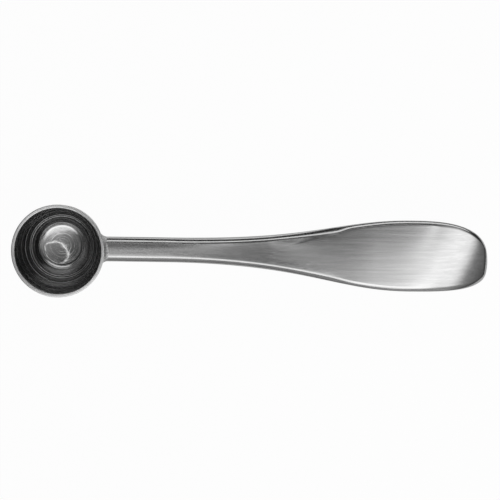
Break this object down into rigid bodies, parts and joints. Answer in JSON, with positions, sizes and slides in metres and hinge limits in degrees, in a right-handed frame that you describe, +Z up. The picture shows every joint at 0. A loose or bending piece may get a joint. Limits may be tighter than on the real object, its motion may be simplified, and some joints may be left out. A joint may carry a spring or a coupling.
{
  "type": "measuring scoop",
  "caption": "Long-handled steel measuring scoop: a deep round-bottomed cup welded to a crowned neck that spreads into a flat rounded paddle.",
  "frame": {"origin": "middle of the flat foot under the cup", "axes": "+Z up along the cup's axis, +X from the cup along the handle to its tip"},
  "size_m": [0.1779, 0.0348, 0.0296],
  "materials": {
    "polished_cup": "polished, with faint turned rings",
    "brushed_handle": "brushed lengthwise, with polished sides",
    "weld_metal": "rippled weld metal, buffed"
  },
  "bodies": {
    "root": {"cup": "polished_cup", "handle": "brushed_handle", "weld_bead": "weld_metal"}
  },
  "joints": []
}
